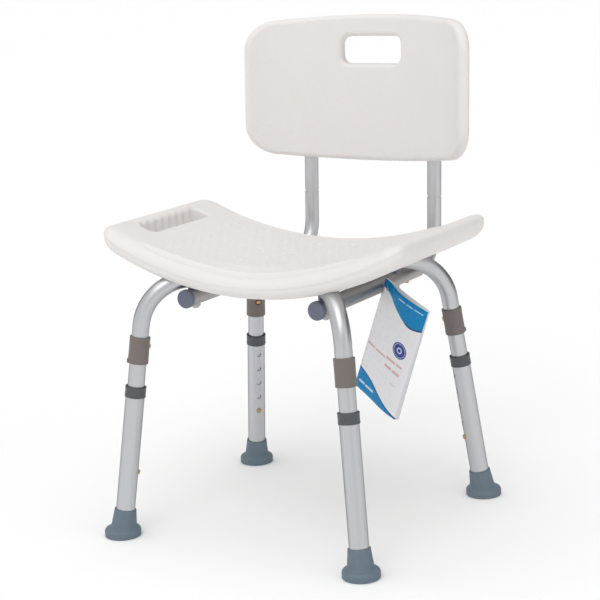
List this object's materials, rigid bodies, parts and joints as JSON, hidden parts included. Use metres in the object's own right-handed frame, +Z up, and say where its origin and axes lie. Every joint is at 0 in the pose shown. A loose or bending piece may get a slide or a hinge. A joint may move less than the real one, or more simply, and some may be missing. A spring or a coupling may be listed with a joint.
{
  "type": "shower chair",
  "caption": "Shower chair with a dished white seat, a curved back with a handle slot, and splayed aluminium legs with snap-button height adjustment.",
  "frame": {"origin": "on the floor, under the middle of the chair's box", "axes": "+Z up, the sitter faces -Y, +X to the left of a seated person, so it is the right side seen from the front"},
  "size_m": [0.511, 0.5146, 0.7464],
  "materials": {
    "white_plastic": "satin white moulded polyethylene, lightly pebbled",
    "aluminium_tube": "satin anodised, drawn tube",
    "collar_plastic": "warm grey moulded plastic",
    "ring_plastic": "dark grey moulded plastic",
    "foot_rubber": "slate blue grey moulded rubber",
    "plug_plastic": "slate grey moulded plastic",
    "button_brass": "satin brass",
    "zinc_steel": "zinc plated steel",
    "tag_card": null,
    "tag_twine": "thin tan twine"
  },
  "bodies": {
    "seat_frame": {"seat": "white_plastic", "seat_inserts": "zinc_steel", "side_frame_left": "aluminium_tube", "side_frame_right": "aluminium_tube", "socket_tube_left": "aluminium_tube", "socket_tube_right": "aluminium_tube", "tube_plug_left": "plug_plastic", "tube_plug_right": "plug_plastic", "tube_saddles": "plug_plastic", "seat_washers": "zinc_steel", "seat_bolts": "zinc_steel", "tag_string": "tag_twine", "collar_front_left": "collar_plastic", "collar_front_right": "collar_plastic", "collar_rear_left": "collar_plastic", "collar_rear_right": "collar_plastic"},
    "leg_front_left": {"leg_inner_front_left": "aluminium_tube", "leg_springs_front_left": "zinc_steel"},
    "lower_leg_front_left": {"leg_outer_front_left": "aluminium_tube", "lock_ring_front_left": "ring_plastic", "foot_front_left": "foot_rubber"},
    "height_button_front_left": {"height_button_front_left": "button_brass"},
    "collar_button_front_left": {"collar_button_front_left": "button_brass"},
    "leg_front_right": {"leg_inner_front_right": "aluminium_tube", "leg_springs_front_right": "zinc_steel"},
    "lower_leg_front_right": {"leg_outer_front_right": "aluminium_tube", "lock_ring_front_right": "ring_plastic", "foot_front_right": "foot_rubber"},
    "height_button_front_right": {"height_button_front_right": "button_brass"},
    "collar_button_front_right": {"collar_button_front_right": "button_brass"},
    "leg_rear_left": {"leg_inner_rear_left": "aluminium_tube", "leg_springs_rear_left": "zinc_steel"},
    "lower_leg_rear_left": {"leg_outer_rear_left": "aluminium_tube", "lock_ring_rear_left": "ring_plastic", "foot_rear_left": "foot_rubber"},
    "height_button_rear_left": {"height_button_rear_left": "button_brass"},
    "collar_button_rear_left": {"collar_button_rear_left": "button_brass"},
    "leg_rear_right": {"leg_inner_rear_right": "aluminium_tube", "leg_springs_rear_right": "zinc_steel"},
    "lower_leg_rear_right": {"leg_outer_rear_right": "aluminium_tube", "lock_ring_rear_right": "ring_plastic", "foot_rear_right": "foot_rubber"},
    "height_button_rear_right": {"height_button_rear_right": "button_brass"},
    "collar_button_rear_right": {"collar_button_rear_right": "button_brass"},
    "back": {"back_panel": "white_plastic", "back_post_left": "aluminium_tube", "back_post_right": "aluminium_tube", "back_screws": "zinc_steel", "post_springs": "zinc_steel"},
    "post_button_left": {"post_button_left": "button_brass"},
    "post_button_right": {"post_button_right": "button_brass"},
    "tag": {"hang_tag": "tag_card"}
  },
  "joints": [
    {"name": "leg_pull_off_front_left", "type": "slide", "parent": "seat_frame", "child": "leg_front_left", "axis": [-0.1051, -0.1015, -0.9893], "range_m": [0, 0.06]},
    {"name": "leg_height_front_left", "type": "slide", "parent": "leg_front_left", "child": "lower_leg_front_left", "axis": [-0.1051, -0.1015, -0.9893], "range_m": [0, 0.1016]},
    {"name": "height_button_press_front_left", "type": "slide", "parent": "leg_front_left", "child": "height_button_front_left", "axis": [-0.7116, -0.6872, 0.1461], "range_m": [0, 0.0042], "stiffness_N_per_m": 1500, "springref_m": -0.002, "deforming": ["leg_springs_front_left", "height_button_front_left"]},
    {"name": "collar_button_press_front_left", "type": "slide", "parent": "leg_front_left", "child": "collar_button_front_left", "axis": [-0.7116, -0.6872, 0.1461], "range_m": [0, 0.0052], "stiffness_N_per_m": 1500, "springref_m": -0.002, "deforming": ["collar_button_front_left"]},
    {"name": "leg_pull_off_front_right", "type": "slide", "parent": "seat_frame", "child": "leg_front_right", "axis": [0.1051, -0.1015, -0.9893], "range_m": [0, 0.06]},
    {"name": "leg_height_front_right", "type": "slide", "parent": "leg_front_right", "child": "lower_leg_front_right", "axis": [0.1051, -0.1015, -0.9893], "range_m": [0, 0.1016]},
    {"name": "height_button_press_front_right", "type": "slide", "parent": "leg_front_right", "child": "height_button_front_right", "axis": [0.7116, -0.6872, 0.1461], "range_m": [0, 0.0042], "stiffness_N_per_m": 1500, "springref_m": -0.002, "deforming": ["leg_springs_front_right", "height_button_front_right"]},
    {"name": "collar_button_press_front_right", "type": "slide", "parent": "leg_front_right", "child": "collar_button_front_right", "axis": [0.7116, -0.6872, 0.1461], "range_m": [0, 0.0052], "stiffness_N_per_m": 1500, "springref_m": -0.002, "deforming": ["collar_button_front_right"]},
    {"name": "leg_pull_off_rear_left", "type": "slide", "parent": "seat_frame", "child": "leg_rear_left", "axis": [-0.1103, 0.0958, -0.9893], "range_m": [0, 0.06]},
    {"name": "leg_height_rear_left", "type": "slide", "parent": "leg_rear_left", "child": "lower_leg_rear_left", "axis": [-0.1103, 0.0958, -0.9893], "range_m": [0, 0.1016]},
    {"name": "height_button_press_rear_left", "type": "slide", "parent": "leg_rear_left", "child": "height_button_rear_left", "axis": [-0.7466, 0.649, 0.1461], "range_m": [0, 0.0042], "stiffness_N_per_m": 1500, "springref_m": -0.002, "deforming": ["leg_springs_rear_left", "height_button_rear_left"]},
    {"name": "collar_button_press_rear_left", "type": "slide", "parent": "leg_rear_left", "child": "collar_button_rear_left", "axis": [-0.7466, 0.649, 0.1461], "range_m": [0, 0.0052], "stiffness_N_per_m": 1500, "springref_m": -0.002, "deforming": ["collar_button_rear_left"]},
    {"name": "leg_pull_off_rear_right", "type": "slide", "parent": "seat_frame", "child": "leg_rear_right", "axis": [0.1103, 0.0958, -0.9893], "range_m": [0, 0.06]},
    {"name": "leg_height_rear_right", "type": "slide", "parent": "leg_rear_right", "child": "lower_leg_rear_right", "axis": [0.1103, 0.0958, -0.9893], "range_m": [0, 0.1016]},
    {"name": "height_button_press_rear_right", "type": "slide", "parent": "leg_rear_right", "child": "height_button_rear_right", "axis": [0.7466, 0.649, 0.1461], "range_m": [0, 0.0042], "stiffness_N_per_m": 1500, "springref_m": -0.002, "deforming": ["leg_springs_rear_right", "height_button_rear_right"]},
    {"name": "collar_button_press_rear_right", "type": "slide", "parent": "leg_rear_right", "child": "collar_button_rear_right", "axis": [0.7466, 0.649, 0.1461], "range_m": [0, 0.0052], "stiffness_N_per_m": 1500, "springref_m": -0.002, "deforming": ["collar_button_rear_right"]},
    {"name": "back_pull_out", "type": "slide", "parent": "seat_frame", "child": "back", "axis": [0, 1, 0], "range_m": [0, 0.065]},
    {"name": "post_button_press_left", "type": "slide", "parent": "back", "child": "post_button_left", "axis": [0, 0, 1], "range_m": [0, 0.0042], "stiffness_N_per_m": 1500, "springref_m": -0.002, "deforming": ["post_button_left", "post_springs"]},
    {"name": "post_button_press_right", "type": "slide", "parent": "back", "child": "post_button_right", "axis": [0, 0, 1], "range_m": [0, 0.0042], "stiffness_N_per_m": 1500, "springref_m": -0.002, "deforming": ["post_button_right"]},
    {"name": "tag_swing", "type": "hinge", "parent": "seat_frame", "child": "tag", "pos_m": [0.134, 0.0105, 0.3632], "axis": [-0.3322, -0.9432, 0], "range_deg": [0, 25]}
  ]
}
